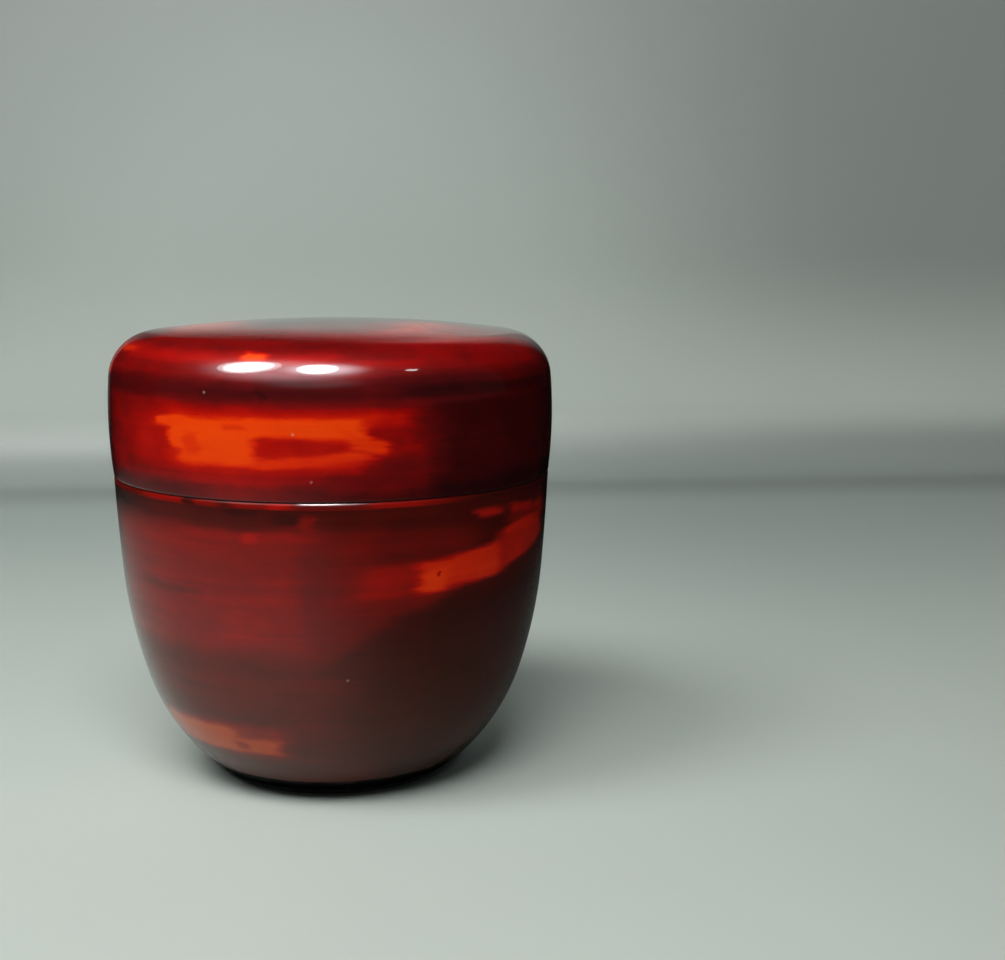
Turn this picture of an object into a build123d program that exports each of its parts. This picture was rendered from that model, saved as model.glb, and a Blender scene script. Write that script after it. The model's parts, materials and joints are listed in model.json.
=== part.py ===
"""Lacquer tea caddy: a turned wooden cup and its pull-off lid, each under bonded coats of lacquer.

Sizes are in millimetres. The caddy stands on z = 0, and Z is the axis it was turned on. Every
piece is a section drawn beside that axis and turned about it. The coats lie on the wood face to
face: each is the gap between an outline and its parallel, one coat deeper.
"""

from build123d import *
import os
from collections import namedtuple
from math import asin, atan2, cos, degrees, hypot, pi, radians, sin, sqrt, tan

# Lid, outside: crown, shoulder and side are three arcs that run into one another
total_height = 69.0
lid_belly_radius = 33.55
lid_belly_height = 55.3
lid_side_curve = 75.0
shoulder_curve = 7.0
crown_curve = 227.0
lid_edge_rounding = 0.35

# Lid, inside
lid_wall = 2.0
lid_top_thickness = 4.0
lid_corner_curve = 5.0

# Body, outside: three arcs that run into one another, and the heights where the next takes over
seam_height = 46.2
mouth_lean = 2.5
body_upper_curve = 377.0
middle_curve_height = 31.9
body_middle_curve = 71.0
lower_curve_height = 15.5
body_lower_curve = 31.5
mouth_bevel = 0.35

# Body, inside
body_wall = 3.6
floor_height = 5.0
floor_fillet = 6.0

# Upright rim that the lid slides over
rim_height = 8.5
rim_rounding = 0.3
fit_clearance = 0.1

# Foot: a slanted band, a ring to stand on and a shallow hollow inside the ring
foot_height = 3.1
foot_slope = 40.0
contact_ring_width = 2.4
hollow_depth = 1.2

# Thickness of every coat, and the most of it that an edge's rounding or bevel may take
lacquer = 0.4
edge_share = 0.9

# An arc of an outline: its centre, its radius, and the directions that it runs down between
Arc = namedtuple("Arc", "r z curve start end")


def direction_at(arc, height, inset):
    """Direction in which an arc's centre sees its parallel at a height, within a quarter turn."""
    rise = (height - arc.z) / (arc.curve - inset)
    return asin(max(-1, min(1, rise)))


def radius_at(arcs, height, inset=0.0):
    """Distance from the axis to an outline's parallel at a height."""
    for arc in arcs:
        if height >= arc.z + (arc.curve - inset) * sin(arc.end):
            break
    return arc.r + (arc.curve - inset) * cos(direction_at(arc, height, inset))


def draw(arcs, inset, low, high):
    """Draws an outline's parallel between two heights."""
    for arc in arcs:
        start = min(arc.start, direction_at(arc, high, inset))
        end = max(arc.end, direction_at(arc, low, inset))
        if start > end:
            CenterArc((arc.r, arc.z), arc.curve - inset, degrees(start), degrees(end - start))


def lid_arcs():
    """Crown, shoulder and side, in which the shoulder touches the other two from inside.

    The crown is centred on the axis, and the side is upright at the belly. So the shoulder's
    centre is the corner of a triangle on their two centres, whose sides are known.
    """
    crown_z = total_height - crown_curve
    side_r = lid_belly_radius - lid_side_curve
    to_crown = crown_curve - shoulder_curve
    to_side = lid_side_curve - shoulder_curve
    apart = hypot(side_r, lid_belly_height - crown_z)
    along = (to_crown**2 - to_side**2 + apart**2) / (2 * apart)
    bearing = atan2(lid_belly_height - crown_z, side_r) - atan2(sqrt(to_crown**2 - along**2), along)
    shoulder_r = to_crown * cos(bearing)
    shoulder_z = crown_z + to_crown * sin(bearing)
    belly_bearing = asin((shoulder_z - lid_belly_height) / to_side)
    return [
        Arc(0, crown_z, crown_curve, pi / 2, bearing),
        Arc(shoulder_r, shoulder_z, shoulder_curve, bearing, belly_bearing),
        Arc(side_r, lid_belly_height, lid_side_curve, belly_bearing, -pi / 2),
    ]


def body_arcs(mouth_radius):
    """Arcs from the mouth down: each starts where the last one ends, with the same tangent."""
    arcs = []
    r, z, start = mouth_radius, seam_height, -radians(mouth_lean)
    for curve, low in (
        (body_upper_curve, middle_curve_height),
        (body_middle_curve, lower_curve_height),
        (body_lower_curve, foot_height),
    ):
        centre_r = r - curve * cos(start)
        centre_z = z - curve * sin(start)
        end = asin((low - centre_z) / curve)
        arcs.append(Arc(centre_r, centre_z, curve, start, end))
        r, z, start = centre_r + curve * cos(end), low, end
    arcs[0] = arcs[0]._replace(start=pi / 2)
    arcs[-1] = arcs[-1]._replace(end=-pi / 2)
    return arcs


# The body's mouth is flush with the lid's edge, and the rim fits the lid's bore
lid = lid_arcs()
edge_radius = radius_at(lid, seam_height)
bore_radius = edge_radius - lid_wall
rim_radius = bore_radius - fit_clearance
body = body_arcs(edge_radius)

# Levels and radii that follow
rim_top = seam_height + rim_height
rim_wood_top = rim_top - lacquer
ledge_wood_height = seam_height - lacquer
lid_wood_edge = seam_height + lacquer
wood_edge_radius = radius_at(lid, lid_wood_edge, lacquer)
ceiling_height = total_height - lid_top_thickness
foot_radius = radius_at(body, foot_height)
contact_radius = foot_radius - foot_height / tan(radians(foot_slope))
ring_inner_radius = contact_radius - contact_ring_width
hollow_curve = (ring_inner_radius**2 + hollow_depth**2) / (2 * hollow_depth)
edge_limit = edge_share * lacquer


def cup_radius(inset):
    """Radius of the rim's bore, on the parallel that lies inset into the wood."""
    return radius_at(body, seam_height, body_wall - inset)


def cup_corner(inset):
    """Where the cup's side meets its floor, before the fillet."""
    return (radius_at(body, floor_height - inset, body_wall - inset), floor_height - inset)


def draw_cup(inset):
    """The inside of the cup, from the axis to the bore of the rim."""
    Line((0, floor_height - inset), cup_corner(inset))
    draw(body, body_wall - inset, floor_height - inset, seam_height)
    Line((cup_radius(inset), seam_height), (cup_radius(inset), rim_wood_top))


def draw_lid_inside(inset, low):
    """The inside of the lid, from a height up its bore and round a curved corner to the axis."""
    corner_r = bore_radius - lid_corner_curve
    corner_z = ceiling_height - lid_corner_curve
    Line((bore_radius + inset, low), (bore_radius + inset, corner_z))
    CenterArc((corner_r, corner_z), lid_corner_curve + inset, 0, 90)
    Line((corner_r, ceiling_height + inset), (0, ceiling_height + inset))


def draw_foot(inset):
    """The underside, from the axis to the foot's upper edge."""
    dome = Arc(0, hollow_depth - hollow_curve, hollow_curve + inset, 0, 0)
    dome_foot = direction_at(dome, inset, 0)
    CenterArc((dome.r, dome.z), dome.curve, degrees(dome_foot), degrees(pi / 2 - dome_foot))
    Polyline(
        (dome.curve * cos(dome_foot), inset),
        (contact_radius - inset * tan(radians(foot_slope / 2)), inset),
        (radius_at(body, foot_height, inset), foot_height),
    )


# Body: turned wood, from its underside up to the ledge, over the rim and down the inside
with BuildPart() as body_core:
    with BuildSketch(Plane.XZ) as body_core_section:
        with BuildLine():
            draw_foot(lacquer)
            draw(body, lacquer, foot_height, ledge_wood_height)
            Polyline(
                (radius_at(body, ledge_wood_height, lacquer), ledge_wood_height),
                (rim_radius - lacquer, ledge_wood_height),
                (rim_radius - lacquer, rim_wood_top),
                (cup_radius(lacquer), rim_wood_top),
            )
            draw_cup(lacquer)
            Line((0, floor_height - lacquer), (0, hollow_depth + lacquer))
        make_face()
        floor_corner = body_core_section.vertices().sort_by_distance(cup_corner(lacquer))[0]
        fillet(floor_corner, floor_fillet + lacquer)
    revolve(axis=Axis.Z)

# Coat on the body's side, from the foot to the mouth, whose outer edge is bevelled
with BuildPart() as body_outer_lacquer:
    with BuildSketch(Plane.XZ) as body_outer_section:
        with BuildLine():
            draw(body, 0, foot_height, seam_height)
            draw(body, lacquer, foot_height, seam_height)
            Line((foot_radius, foot_height), (radius_at(body, foot_height, lacquer), foot_height))
            Line((edge_radius, seam_height), (radius_at(body, seam_height, lacquer), seam_height))
        make_face()
        mouth_edge = body_outer_section.vertices().sort_by_distance((edge_radius, seam_height))[0]
        chamfer(mouth_edge, min(mouth_bevel, edge_limit))
    revolve(axis=Axis.Z)

# Coat on the ledge that the lid sits on, and on the outside and the top of the upright rim
with BuildPart() as body_rim_lacquer:
    with BuildSketch(Plane.XZ) as body_rim_section:
        with BuildLine():
            draw(body, lacquer, ledge_wood_height, seam_height)
            Polyline(
                (radius_at(body, seam_height, lacquer), seam_height),
                (rim_radius, seam_height),
                (rim_radius, rim_top),
                (cup_radius(0), rim_top),
                (cup_radius(0), rim_wood_top),
                (cup_radius(lacquer), rim_wood_top),
                (rim_radius - lacquer, rim_wood_top),
                (rim_radius - lacquer, ledge_wood_height),
                (radius_at(body, ledge_wood_height, lacquer), ledge_wood_height),
            )
        make_face()
        rim_edges = body_rim_section.vertices().group_by(Axis.Y)[-1]
        fillet(rim_edges, min(rim_rounding, edge_limit))
    revolve(axis=Axis.Z)

# Coat inside the cup, up to the rim's top
with BuildPart() as body_inner_lacquer:
    with BuildSketch(Plane.XZ) as body_inner_section:
        with BuildLine():
            draw_cup(0)
            draw_cup(lacquer)
            Line((cup_radius(0), rim_wood_top), (cup_radius(lacquer), rim_wood_top))
            Line((0, floor_height), (0, floor_height - lacquer))
        make_face()
        for depth in (0, lacquer):
            floor_corner = body_inner_section.vertices().sort_by_distance(cup_corner(depth))[0]
            fillet(floor_corner, floor_fillet + depth)
    revolve(axis=Axis.Z)

# Coat under the base
with BuildPart() as foot_lacquer:
    with BuildSketch(Plane.XZ):
        with BuildLine():
            draw_foot(0)
            draw_foot(lacquer)
            Line((foot_radius, foot_height), (radius_at(body, foot_height, lacquer), foot_height))
            Line((0, hollow_depth), (0, hollow_depth + lacquer))
        make_face()
    revolve(axis=Axis.Z)

# Lid: turned wood, from its crown down the side, across its edge and up the inside
with BuildPart() as lid_core:
    with BuildSketch(Plane.XZ):
        with BuildLine():
            draw(lid, lacquer, lid_wood_edge, total_height)
            draw_lid_inside(lacquer, lid_wood_edge)
            Line((wood_edge_radius, lid_wood_edge), (bore_radius + lacquer, lid_wood_edge))
            Line((0, ceiling_height + lacquer), (0, total_height - lacquer))
        make_face()
    revolve(axis=Axis.Z)

# Coat over the lid, whose lower edge is rounded
with BuildPart() as lid_outer_lacquer:
    with BuildSketch(Plane.XZ) as lid_outer_section:
        with BuildLine():
            draw(lid, 0, seam_height, total_height)
            draw(lid, lacquer, seam_height, total_height)
            Line((edge_radius, seam_height), (radius_at(lid, seam_height, lacquer), seam_height))
            Line((0, total_height), (0, total_height - lacquer))
        make_face()
        lid_edge = lid_outer_section.vertices().sort_by_distance((edge_radius, seam_height))[0]
        fillet(lid_edge, min(lid_edge_rounding, edge_limit))
    revolve(axis=Axis.Z)

# Coat inside the lid and across its lower edge
with BuildPart() as lid_inner_lacquer:
    with BuildSketch(Plane.XZ):
        with BuildLine():
            draw(lid, lacquer, seam_height, lid_wood_edge)
            draw_lid_inside(0, seam_height)
            draw_lid_inside(lacquer, lid_wood_edge)
            Line((bore_radius, seam_height), (radius_at(lid, seam_height, lacquer), seam_height))
            Line((bore_radius + lacquer, lid_wood_edge), (wood_edge_radius, lid_wood_edge))
            Line((0, ceiling_height), (0, ceiling_height + lacquer))
        make_face()
    revolve(axis=Axis.Z)

pieces = {
    "body_core": body_core,
    "body_outer_lacquer": body_outer_lacquer,
    "body_rim_lacquer": body_rim_lacquer,
    "body_inner_lacquer": body_inner_lacquer,
    "foot_lacquer": foot_lacquer,
    "lid_core": lid_core,
    "lid_outer_lacquer": lid_outer_lacquer,
    "lid_inner_lacquer": lid_inner_lacquer,
}
os.makedirs("parts", exist_ok=True)
for name, piece in pieces.items():
    piece.part.label = name
    export_step(piece.part, f"parts/{name}.step")
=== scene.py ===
# %% [markdown]
# # A lacquer tea caddy
#
# A caddy for powdered tea is turned on a lathe from wood, in two shells: a cup with an
# upright rim, and a lid that slides over it. Both are then lacquered many times. Here a dark
# coat lies over a vermilion one, and the maker polished through it in places, so the red
# comes up in patches with soft edges. The caddy is small, about as wide as a fist, and all
# of its looks are in that finish: how deep the red is, where it shows, and what the gloss
# mirrors.
#
# The construction is given, as a fixed frame of solids in metres. The first cell loads it
# and keeps the frame's box, to compare with what is shown at the end.

import json
from collections import namedtuple
from math import asin, atan2, cos, degrees, hypot, pi, radians, sin, sqrt, tan

import bpy
import numpy as np
from mathutils import Matrix, Vector

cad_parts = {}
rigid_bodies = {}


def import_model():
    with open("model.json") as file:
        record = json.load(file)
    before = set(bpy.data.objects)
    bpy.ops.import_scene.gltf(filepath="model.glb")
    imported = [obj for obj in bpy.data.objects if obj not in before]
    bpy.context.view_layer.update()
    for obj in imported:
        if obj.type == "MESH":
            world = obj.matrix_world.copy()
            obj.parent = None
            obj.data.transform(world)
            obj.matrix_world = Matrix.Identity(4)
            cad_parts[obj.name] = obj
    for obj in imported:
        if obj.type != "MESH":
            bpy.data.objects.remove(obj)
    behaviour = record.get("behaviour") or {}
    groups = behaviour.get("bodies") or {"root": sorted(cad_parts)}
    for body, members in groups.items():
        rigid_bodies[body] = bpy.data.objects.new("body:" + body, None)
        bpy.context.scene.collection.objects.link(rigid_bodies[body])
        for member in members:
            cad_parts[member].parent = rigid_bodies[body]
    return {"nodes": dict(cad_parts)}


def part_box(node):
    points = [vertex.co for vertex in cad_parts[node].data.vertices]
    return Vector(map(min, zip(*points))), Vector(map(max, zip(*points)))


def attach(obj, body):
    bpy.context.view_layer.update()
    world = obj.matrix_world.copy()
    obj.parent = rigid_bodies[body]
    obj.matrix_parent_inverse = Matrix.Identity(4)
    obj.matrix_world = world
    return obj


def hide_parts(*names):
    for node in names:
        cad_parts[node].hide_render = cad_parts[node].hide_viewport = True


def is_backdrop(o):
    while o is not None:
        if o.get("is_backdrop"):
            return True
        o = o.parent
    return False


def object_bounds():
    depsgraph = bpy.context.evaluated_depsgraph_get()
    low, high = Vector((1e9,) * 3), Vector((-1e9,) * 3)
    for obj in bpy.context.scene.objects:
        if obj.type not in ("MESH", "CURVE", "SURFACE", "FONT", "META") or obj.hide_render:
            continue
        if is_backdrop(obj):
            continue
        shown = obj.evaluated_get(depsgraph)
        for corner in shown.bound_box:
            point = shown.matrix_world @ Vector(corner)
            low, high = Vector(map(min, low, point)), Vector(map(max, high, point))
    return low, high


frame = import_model()
cad_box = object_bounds()
mm = 0.001
print("frame box, mm:", [[round(value / mm, 2) for value in corner] for corner in cad_box])
print("pieces of the frame:", sorted(frame["nodes"]))

# %% [markdown]
# ## Sizes
#
# Heights come straight from the frame's pieces. The outlines are arcs, and an arc's radius
# and the place where it hands over to the next can't be read off a box, so those few sizes
# are named here, as on the maker's own drawing of the profile.

# %% Heights and the coats' thickness, read from the frame
lid_low, lid_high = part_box("lid_outer_lacquer")
rim_low, rim_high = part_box("body_rim_lacquer")
_, foot_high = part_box("foot_lacquer")
cup_low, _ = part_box("body_inner_lacquer")
_, lining_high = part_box("lid_inner_lacquer")

total_height = lid_high.z
seam_height = lid_low.z
rim_top = rim_high.z
foot_height = foot_high.z
coat = seam_height - rim_low.z
floor_height = cup_low.z + coat
ceiling_height = lining_high.z - coat
print(f"height {total_height / mm:.2f}, seam {seam_height / mm:.2f}, coat {coat / mm:.2f} mm")

# %% Curves of the outlines, and fits
lid_belly_radius = 33.55 * mm
lid_belly_height = 55.3 * mm
lid_side_curve = 75 * mm
shoulder_curve = 7 * mm
crown_curve = 227 * mm
lid_edge_rounding = 0.35 * mm
lid_wall = 2 * mm
lid_corner_curve = 5 * mm

mouth_lean = radians(2.5)
body_upper_curve = 377 * mm
middle_curve_height = 31.9 * mm
body_middle_curve = 71 * mm
lower_curve_height = 15.5 * mm
body_lower_curve = 31.5 * mm
mouth_bevel = 0.35 * mm
body_wall = 3.6 * mm
floor_fillet = 6 * mm
rim_rounding = 0.3 * mm
fit_clearance = 0.1 * mm

foot_slope = radians(40)
contact_ring_width = 2.4 * mm
hollow_depth = 1.2 * mm

# %% [markdown]
# ## Outlines made of arcs
#
# A turned outline reads best as a few arcs that run into one another with no corner. Each
# arc is kept as its centre, its radius and the two directions that it runs between. A coat
# of even thickness is then simple: the parallel of an arc is the arc with the same centre
# and a smaller radius. The alternative, a spline through many points, would neither stay
# parallel nor mirror the lamps as cleanly.

# %% An arc, its parallels and its points
Arc = namedtuple("Arc", "r z curve start end")


def direction_at(arc, height, inset=0.0):
    """Direction of the arc's point at a height: the arcsine of its rise over the radius."""
    rise = (height - arc.z) / (arc.curve - inset)
    return asin(max(-1, min(1, rise)))


def radius_at(arcs, height, inset=0.0):
    """Distance from the axis at a height: centre + radius x cosine of the direction."""
    for arc in arcs:
        if height >= arc.z + (arc.curve - inset) * sin(arc.end):
            break
    return arc.r + (arc.curve - inset) * cos(direction_at(arc, height, inset))


def arc_points(arc, inset, start, end, step):
    """Points (r, z) = centre + radius x (cosine, sine) of evenly spaced directions."""
    count = max(2, int(abs(start - end) * (arc.curve - inset) / step) + 2)
    turn = np.linspace(start, end, count)
    reach = arc.curve - inset
    return np.stack([arc.r + reach * np.cos(turn), arc.z + reach * np.sin(turn)], axis=1)


def outline(arcs, inset, high, low, step):
    """Points of an outline's parallel, from a height down to a lower one."""
    runs = []
    for arc in arcs:
        start = min(arc.start, direction_at(arc, high, inset))
        end = max(arc.end, direction_at(arc, low, inset))
        if start > end:
            runs.append(arc_points(arc, inset, start, end, step))
    return np.concatenate(runs)


# %% The lid's three arcs: crown, shoulder and side
def lid_arcs():
    """The shoulder's centre is a corner of the triangle on the other two arcs' centres."""
    crown_z = total_height - crown_curve
    side_r = lid_belly_radius - lid_side_curve
    to_crown = crown_curve - shoulder_curve
    to_side = lid_side_curve - shoulder_curve
    apart = hypot(side_r, lid_belly_height - crown_z)
    along = (to_crown**2 - to_side**2 + apart**2) / (2 * apart)
    bearing = atan2(lid_belly_height - crown_z, side_r) - atan2(sqrt(to_crown**2 - along**2), along)
    shoulder = (to_crown * cos(bearing), crown_z + to_crown * sin(bearing))
    belly_bearing = asin((shoulder[1] - lid_belly_height) / to_side)
    return [
        Arc(0, crown_z, crown_curve, pi / 2, bearing),
        Arc(*shoulder, shoulder_curve, bearing, belly_bearing),
        Arc(side_r, lid_belly_height, lid_side_curve, belly_bearing, -pi / 2),
    ]


lid = lid_arcs()
edge_radius = radius_at(lid, seam_height)
print(f"shoulder centre at {lid[1].r / mm:.3f}, {lid[1].z / mm:.3f} mm")


# %% The body's three arcs, from the mouth down to the foot
def body_arcs():
    """Each arc starts where the last one ends, and its centre lies on the same normal."""
    arcs = []
    r, z, start = edge_radius, seam_height, -mouth_lean
    for curve, low in (
        (body_upper_curve, middle_curve_height),
        (body_middle_curve, lower_curve_height),
        (body_lower_curve, foot_height),
    ):
        centre = (r - curve * cos(start), z - curve * sin(start))
        end = asin((low - centre[1]) / curve)
        arcs.append(Arc(*centre, curve, start, end))
        r, z, start = centre[0] + curve * cos(end), low, end
    arcs[0] = arcs[0]._replace(start=pi / 2)
    arcs[-1] = arcs[-1]._replace(end=-pi / 2)
    return arcs


body = body_arcs()
bore_radius = edge_radius - lid_wall
rim_radius = bore_radius - fit_clearance
foot_radius = radius_at(body, foot_height)
print(f"edge {edge_radius / mm:.3f}, rim {rim_radius / mm:.3f}, foot {foot_radius / mm:.3f} mm")

# %% [markdown]
# ## From an outline to a surface
#
# A surface of revolution is a grid: one direction runs along the outline and the other one
# round the axis. Working the whole grid out as one array is quick and exact. Where the
# outline meets the axis, the ring shrinks to one point, so the pole is a single vertex with
# a fan of triangles, and the surface is closed.
#
# No hand-polished surface is a perfect one. A shallow unevenness, about a hundredth of a
# millimetre deep, makes the mirrored lamps waver a little. It is part of the mesh, because a
# mirror shows such a form at once.

# %% Put a new object into the scene
def new_object(name, data):
    """An object that shows the given mesh, lamp or camera."""
    made = bpy.data.objects.new(name, data)
    bpy.context.scene.collection.objects.link(made)
    return made


# %% Turn an outline about the upright axis
turn_sides = 540
sharp_edge = radians(40)
same_point = 1e-4 * mm
on_axis = 1e-6 * mm


def is_clockwise(points):
    """True if the loop runs clockwise, where the sum of r x next z - next r x z is negative."""
    after = np.roll(points, -1, axis=0)
    return np.sum(points[:, 0] * after[:, 1] - after[:, 0] * points[:, 1]) < 0


def turned(name, points, unevenness=None):
    """Point (r, z) at turn a lands on (r sin a, -r cos a, z), so that a = 0 faces the front.

    The loop is closed along the axis, or else by joining its last row to its first. A point
    that two arcs share is kept once, as a face of no size would spoil the gloss there.
    """
    points = np.asarray(points) if is_clockwise(points) else np.asarray(points)[::-1]
    apart = np.linalg.norm(points - np.roll(points, 1, axis=0), axis=1)
    points = points[apart > same_point]
    turn = np.linspace(0, 2 * pi, turn_sides, endpoint=False)
    reach = np.repeat(points[:, :1], turn_sides, axis=1)
    height = np.repeat(points[:, 1:], turn_sides, axis=1)
    if unevenness is not None:
        reach = reach - unevenness(turn[None, :], height) * (reach > 0)
    grid = np.stack([reach * np.sin(turn), -reach * np.cos(turn), height], axis=2)

    at_pole = points[:, 0] < on_axis
    ring_size = np.where(at_pole, 1, turn_sides)
    first = np.concatenate([[0], np.cumsum(ring_size)[:-1]])
    ring = first[:, None] + np.where(at_pole[:, None], 0, np.arange(turn_sides))
    vertices = np.concatenate([grid[i, :n] for i, n in enumerate(ring_size)])

    upper, lower = ring, np.roll(ring, -1, axis=0)
    pole_above, pole_below = at_pole, np.roll(at_pole, -1)
    corners = np.stack([upper, lower, np.roll(lower, -1, axis=1), np.roll(upper, -1, axis=1)], axis=2)
    quads = corners[~pole_above & ~pole_below].reshape(-1, 4)
    fans_down = corners[pole_above & ~pole_below][:, :, [0, 1, 2]].reshape(-1, 3)
    fans_up = corners[~pole_above & pole_below][:, :, [0, 1, 3]].reshape(-1, 3)

    mesh = bpy.data.meshes.new(name)
    mesh.from_pydata(vertices.tolist(), [], quads.tolist() + fans_down.tolist() + fans_up.tolist())
    mesh.shade_smooth()
    mesh.set_sharp_from_angle(angle=sharp_edge)
    triangles = 2 * len(quads) + len(fans_down) + len(fans_up)
    print(f"{name}: {len(vertices)} vertices, {triangles} triangles")
    return new_object(name, mesh)


# %% The unevenness left by polishing by hand
polish_depth = 0.012 * mm
polish_wave = 11 * mm
wave_count = 14
fewest_round, most_round = 3, 18


def polish_unevenness(seed):
    """Mean of a few waves, cos(n a + k z + phase), lifted so that it only takes away."""
    draw = np.random.default_rng(seed)
    around = draw.integers(fewest_round, most_round + 1, wave_count)
    upward = draw.normal(0, 2 * pi / polish_wave, wave_count)
    phase = draw.uniform(0, 2 * pi, wave_count)

    def depth(turn, height):
        waves = [np.cos(n * turn + k * height + p) for n, k, p in zip(around, upward, phase)]
        return polish_depth * (1 + np.mean(waves, axis=0) * 2) / 2

    return depth


# %% [markdown]
# ## The coats
#
# Each coat that shows is made again as a fine surface on the frame's own outline, because
# the mirrored lamps run right along it and would show any flat facet. It rides on the same
# body as the piece that it stands for. The wooden cores stay as the frame gives them.

# %% Steps along the outlines: where it shows, round small edges, and out of sight
fine_step = 0.5 * mm
edge_step = 0.05 * mm
inner_step = 1.5 * mm


def stand_in(piece, node, body_name):
    """Lets a fine surface stand for the frame's piece of the same shape."""
    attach(piece, body_name)
    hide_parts(node)
    low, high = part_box(node)
    corners = np.array([vertex.co for vertex in piece.data.vertices])
    off = max(np.abs(corners.min(0) - low).max(), np.abs(corners.max(0) - high).max())
    print(f"{piece.name} stands for {node}; its box differs by {off / mm:.3f} mm")
    return piece


# %% The lid's outer coat, with its rounded lower edge
def lid_outer_outline():
    """Down the outside, round the lower edge, and back up inside the coat."""
    rounding_z = seam_height + lid_edge_rounding
    outside = outline(lid, 0, total_height, rounding_z, fine_step)
    rounding = Arc(radius_at(lid, rounding_z, lid_edge_rounding), rounding_z, lid_edge_rounding, 0, 0)
    edge = arc_points(rounding, 0, 0, -pi / 2, edge_step)
    inside = outline(lid, coat, total_height - coat, seam_height, inner_step)[::-1]
    return np.concatenate([outside, edge[1:], inside])


lid_skin = turned("lid_outer_skin", lid_outer_outline(), polish_unevenness(3))
stand_in(lid_skin, "lid_outer_lacquer", "caddy_lid")


# %% The lid's lining, up the bore and over the ceiling
def lid_inside(inset, low):
    """Up the bore, round the corner's arc and in to the axis."""
    centre = (bore_radius - lid_corner_curve, ceiling_height - lid_corner_curve)
    corner = Arc(*centre, lid_corner_curve, 0, 0)
    bend = arc_points(corner, -inset, 0, pi / 2, fine_step)
    return np.concatenate([[(bore_radius + inset, low)], bend, [(0, ceiling_height + inset)]])


def lid_lining_outline():
    """The inside of the lid, back along its parallel in the wood, and across the lower edge."""
    wood_edge = seam_height + coat
    return np.concatenate([
        lid_inside(0, seam_height),
        lid_inside(coat, wood_edge)[::-1],
        [
            (radius_at(lid, wood_edge, coat), wood_edge),
            (radius_at(lid, seam_height, coat), seam_height),
        ],
    ])


lid_lining = turned("lid_lining", lid_lining_outline())
stand_in(lid_lining, "lid_inner_lacquer", "caddy_lid")


# %% The body's outer coat, with the eased edge of its mouth
eased_low, eased_high = radians(22), radians(42)


def body_outer_outline():
    """Over the mouth's eased edge, down the side to the foot, and back up inside the coat.

    The edge is an arc as high as the bevel, of radius height / (sine of its upper direction
    - sine of its lower one). It bulges from the bevel by less than a tenth of a millimetre.
    """
    bevel_low = seam_height - mouth_bevel
    eased_curve = mouth_bevel / (sin(eased_high) - sin(eased_low))
    centre_r = radius_at(body, bevel_low) - eased_curve * cos(eased_low)
    eased = Arc(centre_r, bevel_low - eased_curve * sin(eased_low), eased_curve, 0, 0)
    mouth = [(radius_at(body, seam_height, coat), seam_height)]
    edge = arc_points(eased, 0, eased_high, eased_low, edge_step)
    outside = outline(body, 0, bevel_low, foot_height, fine_step)
    inside = outline(body, coat, seam_height, foot_height, inner_step)[::-1]
    return np.concatenate([mouth, edge[:-1], outside, inside[:-1]])


body_skin = turned("body_outer_skin", body_outer_outline(), polish_unevenness(8))
stand_in(body_skin, "body_outer_lacquer", "caddy_body")


# %% The coat on the ledge and on the upright rim
def rim_outline():
    """In along the ledge, up the rim, over its rounded top, and back through the wood's side."""
    cup_bore = radius_at(body, seam_height, body_wall)
    outer = Arc(rim_radius - rim_rounding, rim_top - rim_rounding, rim_rounding, 0, 0)
    inner = Arc(cup_bore + rim_rounding, rim_top - rim_rounding, rim_rounding, 0, 0)
    return np.concatenate([
        [(radius_at(body, seam_height, coat), seam_height), (rim_radius, seam_height)],
        arc_points(outer, 0, 0, pi / 2, edge_step),
        arc_points(inner, 0, pi / 2, pi, edge_step),
        [
            (cup_bore, rim_top - coat),
            (rim_radius - coat, rim_top - coat),
            (rim_radius - coat, seam_height - coat),
            (radius_at(body, seam_height - coat, coat), seam_height - coat),
        ],
    ])


rim_skin = turned("rim_skin", rim_outline())
stand_in(rim_skin, "body_rim_lacquer", "caddy_body")


# %% The coat inside the cup
def cup_inside(inset, step):
    """From the rim down the bore and the curved side, round the fillet and in to the axis.

    The fillet's centre lies one radius above the floor and one radius inside the side's arc.
    """
    depth = body_wall - inset
    low = floor_height - inset
    reach = floor_fillet + inset
    bore = radius_at(body, seam_height, depth)
    side = body[-1]
    fillet_z = low + reach
    fillet_r = side.r + sqrt((side.curve - depth - reach) ** 2 - (fillet_z - side.z) ** 2)
    meets = atan2(fillet_z - side.z, fillet_r - side.r)
    fillet = Arc(fillet_r, fillet_z, reach, 0, 0)
    top = [(bore, rim_top - coat)]
    wall = outline(body, depth, seam_height, side.z + (side.curve - depth) * sin(meets), step)
    bend = arc_points(fillet, 0, meets, -pi / 2, step)
    return np.concatenate([top, wall[:-1], bend, [(0, low)]])


cup_loop = np.concatenate([cup_inside(coat, inner_step), cup_inside(0, fine_step)[::-1]])
cup_lining = turned("cup_lining", cup_loop)
stand_in(cup_lining, "body_inner_lacquer", "caddy_body")


# %% The foot: slanted band, ring to stand on and shallow hollow
def foot_underside(inset):
    """From the band's upper edge down to the ring, in along it, and up the hollow's dome."""
    contact_radius = foot_radius - foot_height / tan(foot_slope)
    ring_inner = contact_radius - contact_ring_width
    dome_curve = (ring_inner**2 + hollow_depth**2) / (2 * hollow_depth)
    dome = Arc(0, hollow_depth - dome_curve, dome_curve, 0, 0)
    dome_foot = direction_at(dome, inset, -inset)
    band = [
        (radius_at(body, foot_height, inset), foot_height),
        (contact_radius - inset * tan(foot_slope / 2), inset),
    ]
    return np.concatenate([band, arc_points(dome, -inset, dome_foot, pi / 2, inner_step)])


foot_skin = turned("foot_skin", np.concatenate([foot_underside(0), foot_underside(coat)[::-1]]))
stand_in(foot_skin, "foot_lacquer", "caddy_body")

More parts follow.
